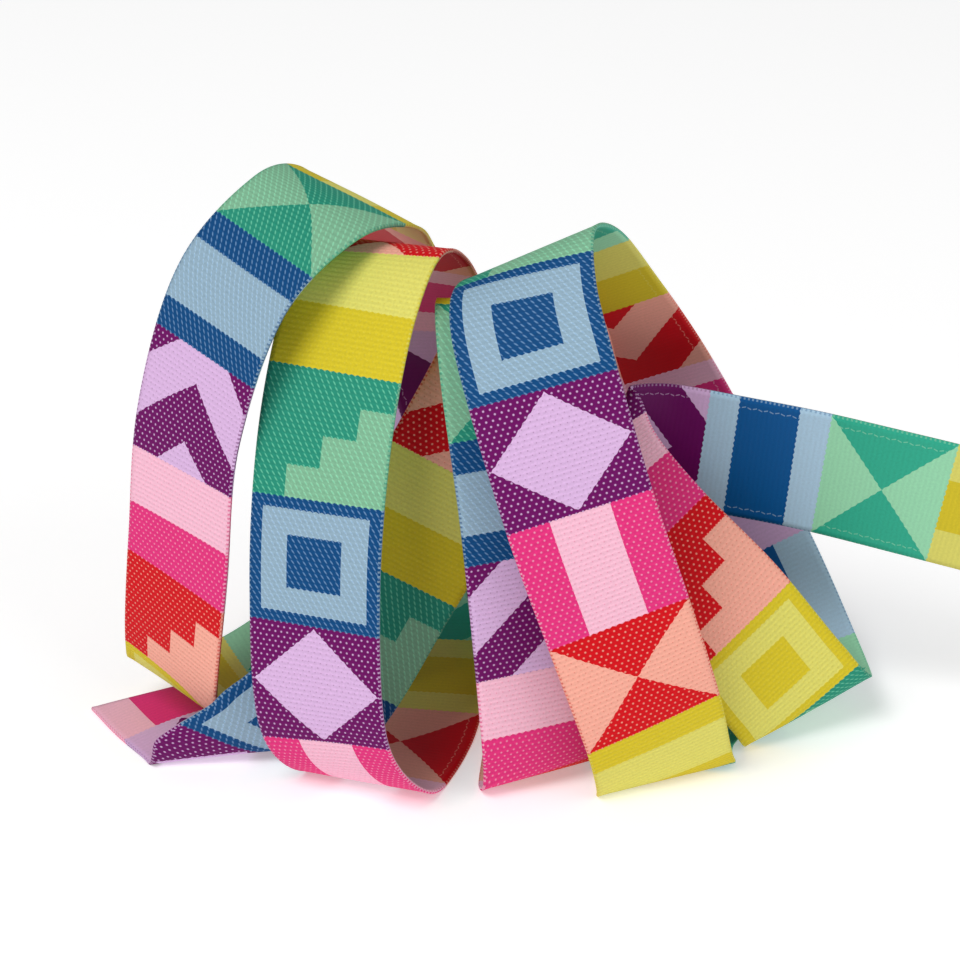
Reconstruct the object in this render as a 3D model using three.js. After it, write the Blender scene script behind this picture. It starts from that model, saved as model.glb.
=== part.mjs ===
// A length of patterned ribbon, 22 mm wide, standing on a table in upright loops. Millimetres, Z up.
import * as THREE from 'three';

// Driving dimensions
const RIBBON_WIDTH = 22;
const SHEET = 1;
const STEPS_PER_SPAN = 5;
const WIDTH_SEGMENTS = 4;
const CENTRE_X = 9.02;
const CENTRE_Y = 30.69;
const RIBBON_COLOUR = 0xc2407f;
const ROUGHNESS = 0.7;

// Each row is one section across the ribbon: its middle point in mm, then how far the right
// selvedge swings to the back and how far it rises, in degrees.

// The flat start piece and its bend on the table.
const START_PIECE = [
  { at: 'cut end', x: -53.5, y: 30.5, z: 0.5, swing: 30, rise: 0 },
  { at: 'start flat', x: -48, y: 21.5, z: 0.5, swing: 27, rise: 0 },
  { at: 'first bend', x: -39.4, y: 10.3, z: 1.3, swing: 9, rise: 4 },
  { at: 'first turn', x: -35.4, y: 7.3, z: 3.8, swing: 6, rise: -5 },
];

// The low turn that leans to the right.
const LEANING_TURN = [
  { at: 'lean low', x: -29.6, y: 7, z: 8.2, swing: 6, rise: -20 },
  { at: 'lean', x: -23.2, y: 8, z: 14.8, swing: 2, rise: -29 },
  { at: 'lean mid', x: -14.4, y: 9.2, z: 30.8, swing: 0, rise: -31 },
  { at: 'lean high', x: -4.2, y: 10.6, z: 49, swing: -2, rise: -32 },
  { at: 'inner top front', x: 0.8, y: 13, z: 57.5, swing: -4, rise: -32 },
  { at: 'inner top', x: 3.2, y: 17.5, z: 60.5, swing: -6, rise: -32 },
  { at: 'inner top back', x: 4, y: 22.5, z: 58.5, swing: -10, rise: -31 },
  { at: 'inner back high', x: 3.4, y: 27, z: 51, swing: -16, rise: -30 },
  { at: 'inner back', x: 0, y: 31, z: 40.5, swing: -26, rise: -28 },
  { at: 'inner back mid', x: -8, y: 34, z: 29, swing: -38, rise: -24 },
  { at: 'inner back low', x: -17.5, y: 34.5, z: 18.5, swing: -50, rise: -18 },
  { at: 'inner foot', x: -27, y: 32, z: 10.5, swing: -56, rise: -10 },
];

// The tall turn at the left.
const LEFT_TURN = [
  { at: 'left floor', x: -35.5, y: 29, z: 6.4, swing: -58, rise: -4 },
  { at: 'left floor end', x: -42.5, y: 25.5, z: 5.2, swing: -56, rise: -2 },
  { at: 'left bend', x: -47.8, y: 20.5, z: 7, swing: -52, rise: -2 },
  { at: 'left low', x: -48.8, y: 16, z: 13, swing: -46, rise: -1 },
  { at: 'left mid', x: -46.4, y: 12.5, z: 35, swing: -43, rise: -1 },
  { at: 'left high', x: -43.8, y: 12, z: 57, swing: -43, rise: 0 },
  { at: 'left shoulder', x: -36.7, y: 13.5, z: 78, swing: -42, rise: -6 },
  { at: 'left top front', x: -26, y: 21.5, z: 87.8, swing: -42, rise: -12 },
  { at: 'left top', x: -19, y: 34, z: 85.2, swing: -38, rise: -12 },
  { at: 'left top back', x: -16.5, y: 48, z: 75.5, swing: -32, rise: -8 },
  { at: 'left back high', x: -13, y: 61, z: 59, swing: -26, rise: -2 },
  { at: 'left back', x: -9, y: 68.5, z: 38, swing: -20, rise: 0 },
  { at: 'left foot', x: -6.5, y: 66, z: 17.5, swing: -16, rise: 0 },
];

// The upright turn with its ridge in the middle.
const SECOND_TURN = [
  { at: 'second floor back', x: -7, y: 53, z: 7, swing: -16, rise: 0 },
  { at: 'second floor', x: -9.2, y: 35, z: 2.6, swing: -18, rise: 0 },
  { at: 'second floor end', x: -12.2, y: 16, z: 0.6, swing: -20, rise: 0 },
  { at: 'second bend', x: -17.4, y: 1, z: 1.4, swing: -24, rise: 3 },
  { at: 'second low', x: -23.6, y: -6, z: 13.5, swing: -26, rise: 5 },
  { at: 'second mid', x: -24.6, y: -4, z: 36.5, swing: -26, rise: 6 },
  { at: 'second high', x: -23.2, y: 2, z: 57, swing: -25, rise: 5 },
  { at: 'second shoulder', x: -20, y: 9.5, z: 73.5, swing: -25, rise: 5 },
  { at: 'second ridge', x: -16, y: 18, z: 82, swing: -25, rise: 5 },
  { at: 'second top back', x: -12.2, y: 29, z: 78.3, swing: -25, rise: 3 },
  { at: 'second back high', x: -8.5, y: 41, z: 65, swing: -20, rise: 1 },
  { at: 'second back', x: -4, y: 48, z: 48.5, swing: -12, rise: 0 },
  { at: 'second back low', x: 2, y: 50, z: 31.5, swing: -2, rise: 2 },
  { at: 'second foot', x: 8, y: 45, z: 16, swing: 6, rise: 4 },
];

// The turn half hidden behind the next one.
const THIRD_TURN = [
  { at: 'third floor back', x: 10.2, y: 33.5, z: 6.4, swing: 9, rise: 3 },
  { at: 'third floor', x: 12, y: 19, z: 3.2, swing: 14, rise: 3 },
  { at: 'third bend', x: 11, y: 3.4, z: 2, swing: 20, rise: 5 },
  { at: 'third low', x: 10.8, y: -1, z: 10, swing: 20, rise: 5 },
  { at: 'third front', x: 9.8, y: -0.4, z: 24, swing: 18, rise: 5 },
  { at: 'third mid', x: 7.8, y: 0.2, z: 48, swing: 14, rise: 5 },
  { at: 'third high', x: 5.2, y: 4.5, z: 68, swing: 10, rise: 3 },
  { at: 'third top', x: 4.5, y: 12, z: 75.3, swing: 8, rise: 0 },
  { at: 'third top back', x: 5.5, y: 21, z: 73.2, swing: 8, rise: -2 },
  { at: 'third back high', x: 8.5, y: 30.5, z: 63.5, swing: 10, rise: -2 },
  { at: 'third back', x: 12.5, y: 36.5, z: 49, swing: 12, rise: 0 },
  { at: 'third back mid', x: 19, y: 38, z: 33, swing: 12, rise: 0 },
  { at: 'third back low', x: 27.5, y: 36, z: 18.5, swing: 6, rise: 4 },
  { at: 'third foot', x: 34.2, y: 29.5, z: 6.8, swing: 0, rise: 8 },
];

// The turn that leans over the others.
const FRONT_TURN = [
  { at: 'front floor back', x: 32, y: 19.5, z: 2.5, swing: 5, rise: 8 },
  { at: 'front floor', x: 28.9, y: 10, z: 1.3, swing: 10, rise: 4 },
  { at: 'front bend', x: 28.9, y: 1.8, z: 1.5, swing: 21, rise: 4 },
  { at: 'front low', x: 26.3, y: -4.6, z: 14.5, swing: 18, rise: 12 },
  { at: 'front front', x: 20.8, y: -6.6, z: 32, swing: 10, rise: 15 },
  { at: 'front mid', x: 14.8, y: -6.5, z: 50, swing: 7, rise: 16 },
  { at: 'front high', x: 9, y: -3.5, z: 69.5, swing: 5, rise: 20 },
  { at: 'front shoulder', x: 6.2, y: 2.5, z: 79.5, swing: 2, rise: 24 },
  { at: 'front ridge', x: 6.6, y: 10.5, z: 83.9, swing: -3, rise: 25.5 },
  { at: 'front top back', x: 11, y: 22, z: 79.8, swing: -8, rise: 25 },
  { at: 'front back high', x: 17.2, y: 34, z: 68.5, swing: -12, rise: 25 },
  { at: 'front back', x: 26, y: 45, z: 52.5, swing: -15, rise: 25 },
  { at: 'front back mid', x: 34.8, y: 50, z: 35.5, swing: -12, rise: 25 },
  { at: 'front back low', x: 44, y: 47.5, z: 18.5, swing: -2, rise: 24 },
];

// The slanting turn at the right, up to its fold.
const LAST_FOLD = [
  { at: 'last foot', x: 50.8, y: 34, z: 6.4, swing: 10, rise: 20 },
  { at: 'last bend', x: 52.4, y: 17.3, z: 4.9, swing: 18, rise: 22 },
  { at: 'last low', x: 48, y: 13, z: 11.5, swing: 23, rise: 22 },
  { at: 'last mid', x: 37.5, y: 12.5, z: 25.5, swing: 30, rise: 25 },
  { at: 'last high', x: 26, y: 16.5, z: 36.5, swing: 34, rise: 29 },
  { at: 'last top', x: 18.5, y: 21, z: 44, swing: 26, rise: 36 },
  { at: 'tail fold', x: 17.5, y: 25.5, z: 46.5, swing: 0, rise: 56 },
  { at: 'tail turn', x: 21.5, y: 29, z: 46, swing: -35, rise: 74 },
];

// The free tail, which ends plainly.
const TAIL = [
  { at: 'tail start', x: 29.5, y: 30.5, z: 45, swing: -60, rise: 82 },
  { at: 'tail near', x: 40, y: 29, z: 43.8, swing: -60, rise: 80 },
  { at: 'tail mid', x: 52, y: 26, z: 42.5, swing: -60, rise: 80 },
  { at: 'tail far', x: 66, y: 22, z: 40.5, swing: -60, rise: 80 },
  { at: 'tail end', x: 80, y: 19, z: 38, swing: -60, rise: 80 },
];
const SECTIONS = [
  ...START_PIECE,
  ...LEANING_TURN,
  ...LEFT_TURN,
  ...SECOND_TURN,
  ...THIRD_TURN,
  ...FRONT_TURN,
  ...LAST_FOLD,
  ...TAIL,
];

// The direction of a section, from the left selvedge to the right one
function acrossDirection(section) {
  const swing = THREE.MathUtils.degToRad(section.swing);
  const rise = THREE.MathUtils.degToRad(section.rise);
  const level = Math.cos(rise);
  return new THREE.Vector3(level * Math.cos(swing), level * Math.sin(swing), Math.sin(rise));
}

function middlePoint(section) {
  return new THREE.Vector3(section.x, section.y, section.z);
}

// A smooth curve through the rows, with a mirrored point added at each end
function smoothThrough(points) {
  const last = points.length - 1;
  const before = points[0].clone().multiplyScalar(2).sub(points[1]);
  const after = points[last].clone().multiplyScalar(2).sub(points[last - 1]);
  const padded = [before, ...points, after];
  const smooth = [];
  for (let span = 0; span < last; span += 1) {
    const [a, b, c, d] = padded.slice(span, span + 4);
    for (let step = 0; step < STEPS_PER_SPAN; step += 1) {
      const t = step / STEPS_PER_SPAN;
      const point = b.clone().multiplyScalar(2 - 5 * t * t + 3 * t ** 3);
      point.addScaledVector(a, -t + 2 * t * t - t ** 3);
      point.addScaledVector(c, t + 4 * t * t - 3 * t ** 3);
      point.addScaledVector(d, -t * t + t ** 3);
      smooth.push(point.multiplyScalar(1 / 2));
    }
  }
  smooth.push(points[last].clone());
  return smooth;
}

function directionAlong(points, index) {
  const next = points[Math.min(index + 1, points.length - 1)];
  const previous = points[Math.max(index - 1, 0)];
  return next.clone().sub(previous).normalize();
}

// The two faces of one cross-section: points from the left selvedge to the right one
function crossSection(middle, across, along) {
  const lean = across.dot(along);
  const halfLength = RIBBON_WIDTH / 2 / Math.sqrt(1 - lean * lean);
  const outward = across.clone().cross(along).normalize();
  const outer = [];
  const inner = [];
  for (let column = 0; column <= WIDTH_SEGMENTS; column += 1) {
    const offset = (2 * column / WIDTH_SEGMENTS - 1) * halfLength;
    const point = middle.clone().addScaledVector(across, offset);
    point.z = Math.max(point.z, SHEET / 2);
    outer.push(point.clone().addScaledVector(outward, SHEET / 2));
    inner.push(point.clone().addScaledVector(outward, -SHEET / 2));
  }
  return [...outer, ...inner.reverse()];
}

// The closed skin around all the cross-sections, with a cut end at each side
function sweptSheet() {
  const middles = smoothThrough(SECTIONS.map(middlePoint));
  const acrosses = smoothThrough(SECTIONS.map(acrossDirection)).map((across) => across.normalize());
  const positions = [];
  const indices = [];
  const ring = 2 * (WIDTH_SEGMENTS + 1);
  middles.forEach((middle, index) => {
    const points = crossSection(middle, acrosses[index], directionAlong(middles, index));
    points.forEach((point) => positions.push(point.x - CENTRE_X, point.y - CENTRE_Y, point.z));
  });
  const lastRing = (middles.length - 1) * ring;
  for (let start = 0; start < lastRing; start += ring) {
    for (let corner = 0; corner < ring; corner += 1) {
      const a = start + corner;
      const b = start + (corner + 1) % ring;
      indices.push(a, b, a + ring, b, b + ring, a + ring);
    }
  }
  for (let column = 0; column < WIDTH_SEGMENTS; column += 1) {
    const opposite = ring - 1 - column;
    indices.push(column, opposite, column + 1, column + 1, opposite, opposite - 1);
    const a = lastRing + column;
    const b = lastRing + opposite;
    indices.push(a, a + 1, b, a + 1, b - 1, b);
  }
  const geometry = new THREE.BufferGeometry();
  geometry.setAttribute('position', new THREE.Float32BufferAttribute(positions, 3));
  geometry.setIndex(indices);
  geometry.computeVertexNormals();
  return geometry;
}

const material = new THREE.MeshStandardMaterial({ color: RIBBON_COLOUR, roughness: ROUGHNESS });
const ribbon = new THREE.Mesh(sweptSheet(), material);
ribbon.name = 'ribbon';

const group = new THREE.Group();
group.name = 'ribbon_loops';
group.add(ribbon);

export default group;
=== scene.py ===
import math
from collections import namedtuple

import bmesh
import bpy
import numpy as np
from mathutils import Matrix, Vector


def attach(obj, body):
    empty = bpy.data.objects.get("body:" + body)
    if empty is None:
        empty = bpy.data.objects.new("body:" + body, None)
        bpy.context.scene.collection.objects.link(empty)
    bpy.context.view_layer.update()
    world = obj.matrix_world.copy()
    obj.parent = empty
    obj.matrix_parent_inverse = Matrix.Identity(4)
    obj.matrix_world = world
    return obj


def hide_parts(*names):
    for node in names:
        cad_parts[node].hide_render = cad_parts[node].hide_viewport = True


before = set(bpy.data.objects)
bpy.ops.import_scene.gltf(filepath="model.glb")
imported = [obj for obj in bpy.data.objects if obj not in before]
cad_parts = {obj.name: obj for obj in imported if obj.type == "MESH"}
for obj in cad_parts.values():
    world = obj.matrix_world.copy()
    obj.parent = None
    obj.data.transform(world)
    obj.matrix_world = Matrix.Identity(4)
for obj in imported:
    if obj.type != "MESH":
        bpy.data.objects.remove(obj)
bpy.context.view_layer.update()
print("frame loaded")

ribbonSection = namedtuple("ribbonSection", "place x y z swing rise")
perMetre = 1000  # the ribbon is laid out in millimetres, the frame is in metres

# One section across the ribbon in each row: its middle in millimetres, then how far the right
# selvedge swings to the back and how far it rises, in degrees
ribbonSections = [
    ("cut end", -53.5, 30.5, 0.5, 30, 0),
    ("start flat", -48, 21.5, 0.5, 27, 0),
    ("first bend", -39.4, 10.3, 1.3, 9, 4),
    ("first turn", -35.4, 7.3, 3.8, 6, -5),
    ("lean low", -29.6, 7, 8.2, 6, -20),
    ("lean", -23.2, 8, 14.8, 2, -29),
    ("lean mid", -14.4, 9.2, 30.8, 0, -31),
    ("lean high", -4.2, 10.6, 49, -2, -32),
    ("inner top front", 0.8, 13, 57.5, -4, -32),
    ("inner top", 3.2, 17.5, 60.5, -6, -32),
    ("inner top back", 4, 22.5, 58.5, -10, -31),
    ("inner back high", 3.4, 27, 51, -16, -30),
    ("inner back", 0, 31, 40.5, -26, -28),
    ("inner back mid", -8, 34, 29, -38, -24),
    ("inner back low", -17.5, 34.5, 18.5, -50, -18),
    ("inner foot", -27, 32, 10.5, -56, -10),
    ("left floor", -35.5, 29, 6.4, -58, -4),
    ("left floor end", -42.5, 25.5, 5.2, -56, -2),
    ("left bend", -47.8, 20.5, 7, -52, -2),
    ("left low", -48.8, 16, 13, -46, -1),
    ("left mid", -46.4, 12.5, 35, -43, -1),
    ("left high", -43.8, 12, 57, -43, 0),
    ("left shoulder", -36.7, 13.5, 78, -42, -6),
    ("left top front", -26, 21.5, 87.8, -42, -12),
    ("left top", -19, 34, 85.2, -38, -12),
    ("left top back", -16.5, 48, 75.5, -32, -8),
    ("left back high", -13, 61, 59, -26, -2),
    ("left back", -9, 68.5, 38, -20, 0),
    ("left foot", -6.5, 66, 17.5, -16, 0),
    ("second floor back", -7, 53, 7, -16, 0),
    ("second floor", -9.2, 35, 2.6, -18, 0),
    ("second floor end", -12.2, 16, 0.6, -20, 0),
    ("second bend", -17.4, 1, 1.4, -24, 3),
    ("second low", -23.6, -6, 13.5, -26, 5),
    ("second mid", -24.6, -4, 36.5, -26, 6),
    ("second high", -23.2, 2, 57, -25, 5),
    ("second shoulder", -20, 9.5, 73.5, -25, 5),
    ("second ridge", -16, 18, 82, -25, 5),
    ("second top back", -12.2, 29, 78.3, -25, 3),
    ("second back high", -8.5, 41, 65, -20, 1),
    ("second back", -4, 48, 48.5, -12, 0),
    ("second back low", 2, 50, 31.5, -2, 2),
    ("second foot", 8, 45, 16, 6, 4),
    ("third floor back", 10.2, 33.5, 6.4, 9, 3),
    ("third floor", 12, 19, 3.2, 14, 3),
    ("third bend", 11, 3.4, 2, 20, 5),
    ("third low", 10.8, -1, 10, 20, 5),
    ("third front", 9.8, -0.4, 24, 18, 5),
    ("third mid", 7.8, 0.2, 48, 14, 5),
    ("third high", 5.2, 4.5, 68, 10, 3),
    ("third top", 4.5, 12, 75.3, 8, 0),
    ("third top back", 5.5, 21, 73.2, 8, -2),
    ("third back high", 8.5, 30.5, 63.5, 10, -2),
    ("third back", 12.5, 36.5, 49, 12, 0),
    ("third back mid", 19, 38, 33, 12, 0),
    ("third back low", 27.5, 36, 18.5, 6, 4),
    ("third foot", 34.2, 29.5, 6.8, 0, 8),
    ("front floor back", 32, 19.5, 2.5, 5, 8),
    ("front floor", 28.9, 10, 1.3, 10, 4),
    ("front bend", 28.9, 1.8, 1.5, 21, 4),
    ("front low", 26.3, -4.6, 14.5, 18, 12),
    ("front front", 20.8, -6.6, 32, 10, 15),
    ("front mid", 14.8, -6.5, 50, 7, 16),
    ("front high", 9, -3.5, 69.5, 5, 20),
    ("front shoulder", 6.2, 2.5, 79.5, 2, 24),
    ("front ridge", 6.6, 10.5, 83.9, -3, 25.5),
    ("front top back", 11, 22, 79.8, -8, 25),
    ("front back high", 17.2, 34, 68.5, -12, 25),
    ("front back", 26, 45, 52.5, -15, 25),
    ("front back mid", 34.8, 50, 35.5, -12, 25),
    ("front back low", 44, 47.5, 18.5, -2, 24),
    ("last foot", 50.8, 34, 6.4, 10, 20),
    ("last bend", 52.4, 17.3, 4.9, 18, 22),
    ("last low", 48, 13, 11.5, 23, 22),
    ("last mid", 37.5, 12.5, 25.5, 30, 25),
    ("last high", 26, 16.5, 36.5, 34, 29),
    ("last top", 18.5, 21, 44, 26, 36),
    ("tail fold", 17.5, 25.5, 46.5, 0, 56),
    ("tail turn", 21.5, 29, 46, -35, 74),
    ("tail start", 29.5, 30.5, 45, -60, 82),
    ("tail near", 40, 29, 43.8, -60, 80),
    ("tail mid", 52, 26, 42.5, -60, 80),
    ("tail far", 66, 22, 40.5, -60, 80),
    ("tail end", 80, 19, 38, -60, 80),
]

# Sizes in millimetres. The solid's middle lies at least "lowestMiddle" above the table, and the
# thinner cloth is laid "drop" lower.
ribbon = {
    "width": 22.0,
    "thickness": 0.5,
    "selvedgeThickness": 0.62,
    "selvedgeWidth": 0.9,
    "selvedgeBulge": 0.12,
    "lowestMiddle": 0.5,
    "drop": 0.2,
    "lowestPoint": 0.02,
    "centre": (9.02, 30.69, 0.0),
    "stepsPerSpan": 14,
    "columns": 22,
    "edgeColumns": 2,
    "cupping": 0.12,
    "cuppingLevel": 0.4,
    "cuppingLength": 31,
    "ripple": 0.1,
    "rippleLengths": (9.3, 47),
    "rippleShifts": (2.1, 1.3),
    "evenFrom": 84,
    "weldDistance": 1e-7,
}


def smoothThrough(points, steps):
    points = np.asarray(points, float)
    padded = np.vstack([2 * points[0] - points[1], points, 2 * points[-1] - points[-2]])
    smooth = []
    for span in range(len(points) - 1):
        a, b, c, d = padded[span:span + 4]
        for step in range(steps):
            t = step / steps
            bend = 2 * a - 5 * b + 4 * c - d
            twist = 3 * b - a - 3 * c + d
            smooth.append(0.5 * (2 * b + (c - a) * t + bend * t ** 2 + twist * t ** 3))
    smooth.append(points[-1])
    return np.array(smooth)


def unit(vectors):
    return vectors / np.linalg.norm(vectors, axis=1)[:, None]


def acrossDirection(section):
    swing, rise = math.radians(section.swing), math.radians(section.rise)
    return (math.cos(rise) * math.cos(swing), math.cos(rise) * math.sin(swing), math.sin(rise))


def ribbonPath(shape):
    sections = [ribbonSection(*row) for row in ribbonSections]
    middle = smoothThrough([(s.x, s.y, s.z) for s in sections], shape["stepsPerSpan"])
    across = unit(smoothThrough([acrossDirection(s) for s in sections], shape["stepsPerSpan"]))
    along = unit(np.gradient(middle, axis=0))
    lean = (across * along).sum(1)
    steps = np.linalg.norm(np.diff(middle, axis=0), axis=1)
    return {
        "middle": middle,
        "across": across,
        "outward": unit(np.cross(across, along)),
        "lean": lean,
        "halfLength": shape["width"] / 2 / np.sqrt(1 - lean ** 2),
        "run": np.concatenate([[0], np.cumsum(steps)]),
    }


# Where each column of the flat strip lies: over the outer face, round the right selvedge,
# back over the inner face and round the left selvedge
def columnPlaces(shape):
    columns, edge = shape["columns"], shape["edgeColumns"]
    places = []
    for i in range(columns + 1):
        places.append((2 * i / columns - 1, 1.0))
    for i in range(1, edge):
        places.append((1.0, 1 - 2 * i / edge))
    for i in range(columns + 1):
        places.append((1 - 2 * i / columns, -1.0))
    for i in range(1, edge):
        places.append((-1.0, -1 + 2 * i / edge))
    places.append(places[0])
    return places


def ribbonPoint(path, shape, index, side, face):
    reach = shape["width"] / 2
    thick = shape["thickness"]
    bead = max(0.0, abs(side) * reach - reach + shape["selvedgeWidth"]) / shape["selvedgeWidth"]
    thick += (shape["selvedgeThickness"] - thick) * math.sin(bead * math.pi / 2)
    bulge = shape["selvedgeBulge"] * (1 - face * face)
    offset = side * (path["halfLength"][index] + bulge)
    point = path["middle"][index] + path["across"][index] * offset
    run = path["run"][index]
    cup = side * side - shape["cuppingLevel"]
    lift = shape["cupping"] * cup * math.sin(run / shape["cuppingLength"])
    shortWave, longWave = shape["rippleLengths"]
    shortShift, longShift = shape["rippleShifts"]
    ripple = shape["ripple"] * math.sin(run / shortWave + shortShift * side)
    lift += ripple * math.sin(run / longWave + longShift)
    point[2] = max(point[2], shape["lowestMiddle"]) - shape["drop"]
    point = point + path["outward"][index] * (face * thick / 2 + lift)
    point[2] = max(point[2], shape["lowestPoint"])
    return point


# Distance along the flat ribbon for each corner. Before the mesh row "evenFrom" the sharp first
# bend would stretch the weave, so there each column is measured along itself.
def flatLengths(path, places, points, shape):
    rows = len(path["run"])
    side = np.array([place[0] for place in places])
    lengths = path["run"][:, None] + (path["halfLength"] * path["lean"])[:, None] * side[None, :]
    for row in range(min(shape["evenFrom"], rows) - 1, -1, -1):
        lengths[row] = lengths[row + 1] - np.linalg.norm(points[row + 1] - points[row], axis=1)
    return lengths


def makeRibbon(shape):
    path = ribbonPath(shape)
    places = columnPlaces(shape)
    rows = len(path["run"]) - 1
    aroundCount = len(places) - 1
    points = []
    for row in range(rows + 1):
        points.append([ribbonPoint(path, shape, row, *place) for place in places])
    points = np.array(points)
    lengths = flatLengths(path, places, points, shape)
    centre = np.array(shape["centre"])
    bm = bmesh.new()
    bmesh.ops.create_grid(bm, x_segments=aroundCount, y_segments=rows, size=1)
    uvLayer = bm.loops.layers.uv.new("flat")
    cells = {}
    for vert in bm.verts:
        column = round((vert.co.x + 1) / 2 * aroundCount)
        row = round((vert.co.y + 1) / 2 * rows)
        flatAcross = places[column][0] * shape["width"] / 2
        cells[vert] = (column, flatAcross, lengths[row, column])
        vert.co = Vector((points[row, column] - centre) / perMetre)
    # The inner face reaches from the middle of one selvedge to the middle of the other
    outerEnd = shape["columns"] + shape["edgeColumns"] // 2
    innerEnd = outerEnd + shape["columns"] + shape["edgeColumns"]
    for face in bm.faces:
        columns = [cells[vert][0] for vert in face.verts]
        inner = outerEnd <= min(columns) and max(columns) <= innerEnd
        face.material_index = 1 if inner else 0
        face.smooth = True
        for loop in face.loops:
            _, flatAcross, flatAlong = cells[loop.vert]
            loop[uvLayer].uv = (flatAcross, flatAlong)
    bmesh.ops.remove_doubles(bm, verts=bm.verts, dist=shape["weldDistance"])
    openEdges = [edge for edge in bm.edges if edge.is_boundary]
    cutEnds = bmesh.ops.holes_fill(bm, edges=openEdges, sides=0)["faces"]
    for face in cutEnds:
        for loop in face.loops:
            loop[uvLayer].uv = (0, 0)
    bmesh.ops.recalc_face_normals(bm, faces=bm.faces)
    mesh = bpy.data.meshes.new("ribbon")
    bm.to_mesh(mesh)
    bm.free()
    piece = bpy.data.objects.new("ribbonCloth", mesh)
    bpy.context.collection.objects.link(piece)
    return piece, path["run"][-1]


# Six hues follow each other along the ribbon, each in a dark and a light yarn. Sizes in
# millimetres, but those of the motifs are shares of half a block.
pattern = {
    "block": 19.2,
    "start": 10.0,
    "darkYarns": [
        (0.15, 0.0, 0.115),
        (0.0, 0.10, 0.33),
        (0.03, 0.44, 0.29),
        (0.70, 0.56, 0.02),
        (0.68, 0.0, 0.006),
        (0.80, 0.03, 0.21),
    ],
    "lightYarns": [
        (0.72, 0.47, 0.76),
        (0.45, 0.66, 0.83),
        (0.34, 0.75, 0.47),
        (0.76, 0.71, 0.15),
        (0.95, 0.43, 0.33),
        (0.95, 0.52, 0.66),
    ],
    "spotStrength": [0.85, 0.3, 0.34, 0.14, 0.75, 0.55],
    "twill": [0.0, 1.0, 1.0, 0.0, 0.0, 0.0],
    "hueNudge": 0.02,
    "motifCount": 8.0,
    "motifStep": 3.0,
    "sameMotif": 0.25,
    "diamondSize": 0.96,
    "frameSize": 0.62,
    "frameWidth": 0.2,
    "chevronScale": 0.5,
    "chevronShift": 0.25,
    "columnWidth": 0.42,
    "stepSize": 0.5,
    "barWidth": 0.5,
    "toothDepth": 0.1,
    "toothPitch": 1.02,
}

weave = {
    "ribPitch": 0.8,
    "spotPitch": 1.02,
    "spotRadius": 0.21,
    "spotBlur": 0.12,
    "speckRadius": 0.14,
    "speckBlur": 0.1,
    "twillSlant": 0.9,
    "twillStretch": -0.45,
    "wobble": 0.22,
    "wobbleScale": 0.35,
    "wobbleDetail": 2.0,
    "threadScale": 2.6,
    "threadDetail": 3.0,
}

selvedge = {
    "stitchPitch": 0.7,
    "stitchLevel": 0.2,
    "zigzagPitch": 0.9,
    "zigzagRise": 0.35,
    "lineWidth": 0.1,
    "gapShare": 0.3,
}

outerFace = {
    "roughness": 0.66,
    "specular": 0.16,
    "bump": 0.32,
    "bumpDepth": 0.00016,
    "spotHeight": 0.6,
    "threadHeight": 0.5,
    "speckShare": 0.42,
    # how much painted shade darkens the gaps between the twill dashes
    "twillGapShade": 0.36,
    "selvedgeFrom": 10.8,
    "stitchShare": 0.6,
    "ribShade": (0.08, 0.9),
    "threadShade": (0.34, 0.83),
}

innerFace = {
    "roughness": 0.5,
    "specular": 0.18,
    "bump": 0.1,
    "bumpDepth": 0.0001,
    "ribHeight": 0.6,
    "threadHeight": 0.5,
    "selvedgeFrom": 10.82,
    "stitchShare": 0.4,
    "lineFrom": 9.2,
    "lineShare": 0.45,
    "ribShade": (0.04, 0.84),
    "threadShade": (0.26, 0.87),
}


class nodeWiring:
    def __init__(self, tree):
        self.tree = tree

    def add(self, kind, **settings):
        made = self.tree.nodes.new(kind)
        for name, value in settings.items():
            setattr(made, name, value)
        return made

    def feed(self, socket, value):
        if isinstance(value, bpy.types.NodeSocket):
            self.tree.links.new(value, socket)
        else:
            socket.default_value = value

    def math(self, operation, *values, clamp=False):
        made = self.add("ShaderNodeMath", operation=operation, use_clamp=clamp)
        for socket, value in zip(made.inputs, values):
            self.feed(socket, value)
        return made.outputs[0]

    # Inputs 6 and 7 and output 2 of this node are its colours
    def mixColour(self, share, first, second, blend="MIX"):
        made = self.add("ShaderNodeMix", data_type="RGBA", blend_type=blend)
        self.feed(made.inputs[0], share)
        self.feed(made.inputs[6], first)
        self.feed(made.inputs[7], second)
        return made.outputs[2]

    def noise(self, place, scale, detail):
        made = self.add("ShaderNodeTexNoise")
        self.feed(made.inputs["Vector"], place)
        made.inputs["Scale"].default_value = scale
        made.inputs["Detail"].default_value = detail
        return made.outputs["Fac"]

    # A ramp of flat steps, one for each hue
    def steps(self, share, colours):
        made = self.add("ShaderNodeValToRGB")
        ramp = made.color_ramp
        ramp.interpolation = "CONSTANT"
        while len(ramp.elements) < len(colours):
            ramp.elements.new(1.0)
        for i, colour in enumerate(colours):
            ramp.elements[i].position = i / len(colours)
            ramp.elements[i].color = (*colour, 1.0)
        self.feed(made.inputs[0], share)
        return made.outputs[0]

    def split(self, place):
        made = self.add("ShaderNodeSeparateXYZ")
        self.feed(made.inputs[0], place)
        return made.outputs[0], made.outputs[1]

    def place(self, tree, **values):
        made = self.add("ShaderNodeGroup", node_tree=tree)
        for name, value in values.items():
            self.feed(made.inputs[name], value)
        return made.outputs


def newGroup(name, inputs, outputs):
    tree = bpy.data.node_groups.new(name, "ShaderNodeTree")
    for label, kind in inputs.items():
        tree.interface.new_socket(label, in_out="INPUT", socket_type=kind)
    for label, kind in outputs.items():
        tree.interface.new_socket(label, in_out="OUTPUT", socket_type=kind)
    wiring = nodeWiring(tree)
    given = wiring.add("NodeGroupInput").outputs
    out = wiring.add("NodeGroupOutput").inputs
    return tree, wiring, given, out


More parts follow.
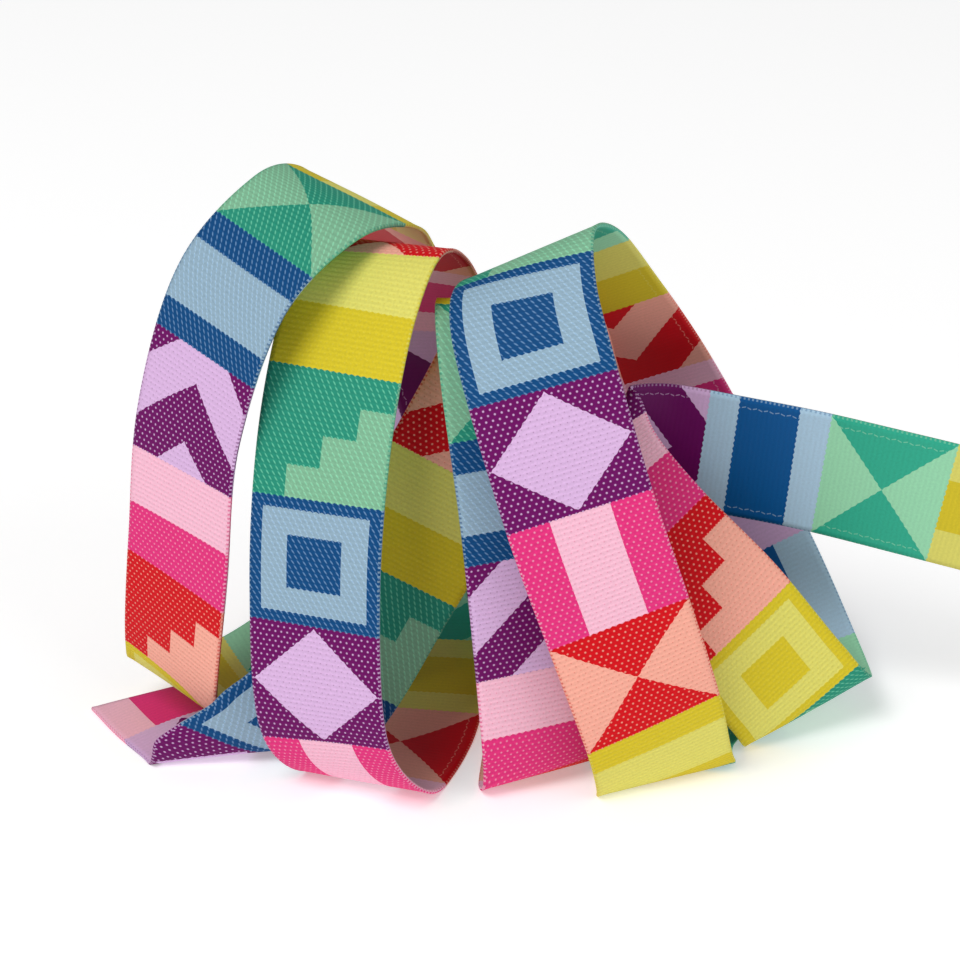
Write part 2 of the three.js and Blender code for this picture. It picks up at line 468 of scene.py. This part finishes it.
# Where the light yarn shows in each motif: x and y run from -1 to 1 over the block
def motifShapes(w, look, x, y):
    wide, tall = w.math("ABSOLUTE", x), w.math("ABSOLUTE", y)
    ring = w.math("MAXIMUM", wide, tall)
    slope = w.math("ADD", y, wide)
    slope = w.math("MULTIPLY_ADD", slope, look["chevronScale"], look["chevronShift"])
    return [
        w.math("LESS_THAN", w.math("ADD", wide, tall), look["diamondSize"]),
        w.math("GREATER_THAN", y, 0.0),  # half and half
        w.math("GREATER_THAN", wide, tall),  # hourglass
        w.math("COMPARE", ring, look["frameSize"], look["frameWidth"]),
        w.math("GREATER_THAN", w.math("FRACT", slope), 0.5),  # chevron
        w.math("LESS_THAN", wide, look["columnWidth"]),
        w.math("GREATER_THAN", w.math("SNAP", x, look["stepSize"]), y),
        w.math("LESS_THAN", tall, look["barWidth"]),
    ]


def makeBlockGroup(look, halfWidth):
    tree, w, given, out = newGroup(
        "colourBlocks",
        {"flat": "NodeSocketVector"},
        {
            "dark": "NodeSocketColor",
            "light": "NodeSocketColor",
            "lightMask": "NodeSocketFloat",
            "spotStrength": "NodeSocketFloat",
            "twill": "NodeSocketFloat",
        },
    )
    across, along = w.split(given["flat"])
    toothSlope = look["toothDepth"] * 4 / look["toothPitch"]
    teeth = w.math("PINGPONG", across, look["toothPitch"] / 2)
    teeth = w.math("MULTIPLY_ADD", teeth, toothSlope, -look["toothDepth"])
    place = w.math("SUBTRACT", w.math("ADD", along, teeth), look["start"])
    place = w.math("DIVIDE", place, look["block"])
    number = w.math("FLOOR", place)
    x = w.math("DIVIDE", across, halfWidth)
    y = w.math("MULTIPLY_ADD", w.math("FRACT", place), 2.0, -1.0)
    hueCount = len(look["darkYarns"])
    hue = w.math("DIVIDE", w.math("FLOORED_MODULO", number, hueCount), hueCount)
    hue = w.math("ADD", hue, look["hueNudge"])  # clear of the ramp's steps
    motif = w.math("MULTIPLY", number, look["motifStep"])
    motif = w.math("FLOORED_MODULO", motif, look["motifCount"])
    mask = 0.0
    for i, shape in enumerate(motifShapes(w, look, x, y)):
        chosen = w.math("COMPARE", motif, i, look["sameMotif"])
        mask = w.math("MULTIPLY_ADD", shape, chosen, mask)
    w.feed(out["dark"], w.steps(hue, look["darkYarns"]))
    w.feed(out["light"], w.steps(hue, look["lightYarns"]))
    w.feed(out["lightMask"], mask)
    w.feed(out["spotStrength"], w.steps(hue, [(s, s, s) for s in look["spotStrength"]]))
    w.feed(out["twill"], w.steps(hue, [(t, t, t) for t in look["twill"]]))
    return tree


# Fine ribs across the ribbon, with a spot of the other yarn at every second crossing. On the
# twill hues the spots are short slanting dashes.
def makeWeaveGroup(cloth):
    tree, w, given, out = newGroup(
        "ribbedWeave",
        {"flat": "NodeSocketVector", "twill": "NodeSocketFloat"},
        {
            "spots": "NodeSocketFloat",
            "specks": "NodeSocketFloat",
            "ribs": "NodeSocketFloat",
            "threads": "NodeSocketFloat",
        },
    )
    across, along = w.split(given["flat"])
    wobble = w.noise(given["flat"], cloth["wobbleScale"], cloth["wobbleDetail"])
    wobble = w.math("MULTIPLY_ADD", wobble, cloth["wobble"], -cloth["wobble"] / 2)
    along = w.math("ADD", along, wobble)
    row = w.math("DIVIDE", along, cloth["ribPitch"])
    shift = w.math("MULTIPLY", w.math("FLOORED_MODULO", w.math("FLOOR", row), 2.0), 0.5)
    column = w.math("ADD", w.math("DIVIDE", across, cloth["spotPitch"]), shift)
    spotX = w.math("SUBTRACT", w.math("FRACT", column), 0.5)
    spotX = w.math("MULTIPLY", spotX, cloth["spotPitch"])
    spotY = w.math("SUBTRACT", w.math("FRACT", row), 0.5)
    spotY = w.math("MULTIPLY", spotY, cloth["ribPitch"])
    slant = w.math("MULTIPLY", spotX, given["twill"])
    spotY = w.math("MULTIPLY_ADD", slant, cloth["twillSlant"], spotY)
    stretch = w.math("MULTIPLY_ADD", given["twill"], cloth["twillStretch"], 1.0)
    spotX = w.math("MULTIPLY", spotX, stretch)
    squareX = w.math("MULTIPLY", spotX, spotX)
    squareY = w.math("MULTIPLY", spotY, spotY)
    reach = w.math("SQRT", w.math("ADD", squareX, squareY))
    for name in ("spot", "speck"):
        depth = w.math("SUBTRACT", cloth[name + "Radius"], reach)
        w.feed(out[name + "s"], w.math("DIVIDE", depth, cloth[name + "Blur"], clamp=True))
    ribs = w.math("SINE", w.math("MULTIPLY", row, 2 * math.pi))
    w.feed(out["ribs"], w.math("MULTIPLY_ADD", ribs, -0.5, 0.5))
    w.feed(out["threads"], w.noise(given["flat"], cloth["threadScale"], cloth["threadDetail"]))
    return tree


# Small stitches of the other yarn at each edge, and a dashed zigzag line a little way in
def makeSelvedgeGroup(edge):
    tree, w, given, out = newGroup(
        "selvedgeStitches",
        {"flat": "NodeSocketVector", "bandFrom": "NodeSocketFloat", "lineFrom": "NodeSocketFloat"},
        {"stitches": "NodeSocketFloat", "dashes": "NodeSocketFloat"},
    )
    across, along = w.split(given["flat"])
    side = w.math("ABSOLUTE", across)
    band = w.math("GREATER_THAN", side, given["bandFrom"])
    wave = w.math("SINE", w.math("MULTIPLY", along, 2 * math.pi / edge["stitchPitch"]))
    stitch = w.math("GREATER_THAN", wave, edge["stitchLevel"])
    w.feed(out["stitches"], w.math("MULTIPLY", band, stitch))
    zigzag = w.math("PINGPONG", along, edge["zigzagPitch"])
    zigzag = w.math("MULTIPLY_ADD", zigzag, edge["zigzagRise"], given["lineFrom"])
    near = w.math("COMPARE", side, zigzag, edge["lineWidth"])
    dash = w.math("FRACT", w.math("DIVIDE", along, edge["zigzagPitch"]))
    dash = w.math("GREATER_THAN", dash, edge["gapShare"])
    w.feed(out["dashes"], w.math("MULTIPLY", near, dash))
    return tree


def startMaterial(name):
    material = bpy.data.materials.new(name)
    material.use_nodes = True
    material.node_tree.nodes.clear()
    w = nodeWiring(material.node_tree)
    shader = w.add("ShaderNodeBsdfPrincipled")
    surface = w.add("ShaderNodeOutputMaterial")
    w.feed(surface.inputs[0], shader.outputs[0])
    flat = w.add("ShaderNodeUVMap", uv_map="flat").outputs[0]
    return material, w, shader, flat


# Colour with painted shade in the grooves between the ribs, small shading of the threads, relief
# and gloss, the same way on both faces
def finishCloth(w, shader, face, colour, shade, yarn, height):
    # painted shade: the colour darkens in the grooves between the ribs
    ribShade = w.math("MULTIPLY_ADD", yarn["ribs"], *face["ribShade"])
    threadShade = w.math("MULTIPLY_ADD", yarn["threads"], *face["threadShade"])
    shade = w.math("MULTIPLY", w.math("MULTIPLY", shade, ribShade), threadShade)
    grey = w.add("ShaderNodeCombineColor")
    for channel in grey.inputs:
        w.feed(channel, shade)
    w.feed(shader.inputs["Base Color"], w.mixColour(1.0, colour, grey.outputs[0], "MULTIPLY"))
    bump = w.add("ShaderNodeBump")
    bump.inputs["Strength"].default_value = face["bump"]
    bump.inputs["Distance"].default_value = face["bumpDepth"]
    height = w.math("MULTIPLY_ADD", yarn["threads"], face["threadHeight"], height)
    w.feed(bump.inputs["Height"], height)
    w.feed(shader.inputs["Normal"], bump.outputs[0])
    shader.inputs["Roughness"].default_value = face["roughness"]
    shader.inputs["Specular IOR Level"].default_value = face["specular"]


def makeOuterMaterial(groups, face):
    material, w, shader, flat = startMaterial("ribbonOuterFace")
    blocks = w.place(groups["blocks"], flat=flat)
    yarn = w.place(groups["weave"], flat=flat, twill=blocks["twill"])
    edge = w.place(groups["selvedge"], flat=flat, bandFrom=face["selvedgeFrom"], lineFrom=0.0)
    spotShare = w.math("MULTIPLY", yarn["spots"], blocks["spotStrength"])
    darkCloth = w.mixColour(spotShare, blocks["dark"], blocks["light"])
    speckShare = w.math("MULTIPLY", yarn["specks"], face["speckShare"])
    lightCloth = w.mixColour(speckShare, blocks["light"], blocks["dark"])
    woven = w.mixColour(blocks["lightMask"], darkCloth, lightCloth)
    otherYarn = w.mixColour(blocks["lightMask"], blocks["light"], blocks["dark"])
    stitchShare = w.math("MULTIPLY", edge["stitches"], face["stitchShare"])
    woven = w.mixColour(stitchShare, woven, otherYarn)
    # Painted shade: the gaps between the twill dashes are darkened as if shadowed in the grooves
    gaps = w.math("MULTIPLY", blocks["twill"], w.math("SUBTRACT", 1.0, yarn["spots"]))
    gapShade = w.math("MULTIPLY_ADD", gaps, -face["twillGapShade"], 1.0)
    height = w.math("MULTIPLY_ADD", yarn["spots"], face["spotHeight"], yarn["ribs"])
    finishCloth(w, shader, face, woven, gapShade, yarn, height)
    return material


# The reverse has the same motifs with the two yarns exchanged, and a smoother satin face
def makeInnerMaterial(groups, face):
    material, w, shader, flat = startMaterial("ribbonInnerFace")
    blocks = w.place(groups["blocks"], flat=flat)
    yarn = w.place(groups["weave"], flat=flat, twill=1.0)
    bandFrom, lineFrom = face["selvedgeFrom"], face["lineFrom"]
    edge = w.place(groups["selvedge"], flat=flat, bandFrom=bandFrom, lineFrom=lineFrom)
    satin = w.mixColour(blocks["lightMask"], blocks["light"], blocks["dark"])
    otherYarn = w.mixColour(blocks["lightMask"], blocks["dark"], blocks["light"])
    lineShare = w.math("MULTIPLY", edge["dashes"], blocks["lightMask"])
    lineShare = w.math("MULTIPLY", lineShare, face["lineShare"])
    satin = w.mixColour(lineShare, satin, blocks["light"])
    stitchShare = w.math("MULTIPLY", edge["stitches"], face["stitchShare"])
    satin = w.mixColour(stitchShare, satin, otherYarn)
    height = w.math("MULTIPLY", yarn["ribs"], face["ribHeight"])
    finishCloth(w, shader, face, satin, 1.0, yarn, height)
    return material


groups = {
    "blocks": makeBlockGroup(pattern, ribbon["width"] / 2),
    "weave": makeWeaveGroup(weave),
    "selvedge": makeSelvedgeGroup(selvedge),
}
ribbonCloth, ribbonLength = makeRibbon(ribbon)
ribbonCloth.data.materials.append(makeOuterMaterial(groups, outerFace))
ribbonCloth.data.materials.append(makeInnerMaterial(groups, innerFace))
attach(ribbonCloth, "root")
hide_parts("ribbon")
print("ribbon made", round(ribbonLength), "mm")

# Sizes and places in metres, the lens and sensor in millimetres, the elevation in degrees
studio = {
    "floorSize": 3.0,
    "floorColour": (0.9, 0.9, 0.9),
    "floorRoughness": 0.9,
    "floorSpecular": 0.1,
    "floorGlow": 0.3,
    "skyColour": (1.0, 1.0, 1.0),
    "skyStrength": 0.34,
    "key": {"place": (-0.8, -1.0, 1.7), "size": 1.0, "power": 25.0},
    "fill": {"place": (1.3, -1.1, 1.0), "size": 1.4, "power": 8.0},
    "lens": 109.65,
    "sensor": 36.0,
    "clipStart": 0.01,
    "distance": 0.43,
    "elevation": 25.0,
    "target": (-0.00902, -0.03069, 0.053),
}


def makeFloor(look):
    bm = bmesh.new()
    bmesh.ops.create_grid(bm, x_segments=1, y_segments=1, size=look["floorSize"])
    mesh = bpy.data.meshes.new("floor")
    bm.to_mesh(mesh)
    bm.free()
    floor = bpy.data.objects.new("floor", mesh)
    bpy.context.collection.objects.link(floor)
    material = bpy.data.materials.new("paleFloor")
    material.use_nodes = True
    shader = material.node_tree.nodes["Principled BSDF"]
    shader.inputs["Base Color"].default_value = (*look["floorColour"], 1.0)
    shader.inputs["Roughness"].default_value = look["floorRoughness"]
    shader.inputs["Specular IOR Level"].default_value = look["floorSpecular"]
    shader.inputs["Emission Color"].default_value = (*look["skyColour"], 1.0)
    shader.inputs["Emission Strength"].default_value = look["floorGlow"]
    mesh.materials.append(material)
    return floor


def aimed(thing, place, target):
    thing.location = place
    thing.rotation_mode = "QUATERNION"
    thing.rotation_quaternion = (target - thing.location).to_track_quat("-Z", "Y")
    bpy.context.collection.objects.link(thing)
    return thing


def makeLight(name, facts, target):
    data = bpy.data.lights.new(name, "AREA")
    data.energy = facts["power"]
    data.size = facts["size"]
    return aimed(bpy.data.objects.new(name, data), facts["place"], target)


def makeCamera(look, target):
    data = bpy.data.cameras.new("camera")
    data.lens = look["lens"]
    data.sensor_width = look["sensor"]
    data.clip_start = look["clipStart"]
    tilt = math.radians(look["elevation"])
    back = Vector((0, -math.cos(tilt), math.sin(tilt)))
    return aimed(bpy.data.objects.new("camera", data), target + back * look["distance"], target)


floor = makeFloor(studio)

target = Vector(studio["target"])
makeLight("keyLight", studio["key"], target)
makeLight("fillLight", studio["fill"], target)
world = bpy.context.scene.world or bpy.data.worlds.new("studioWorld")
bpy.context.scene.world = world
world.use_nodes = True
background = world.node_tree.nodes["Background"]
background.inputs["Color"].default_value = (*studio["skyColour"], 1.0)
background.inputs["Strength"].default_value = studio["skyStrength"]
bpy.context.scene.camera = makeCamera(studio, target)
bpy.context.scene.view_settings.view_transform = "Standard"
print("studio ready")
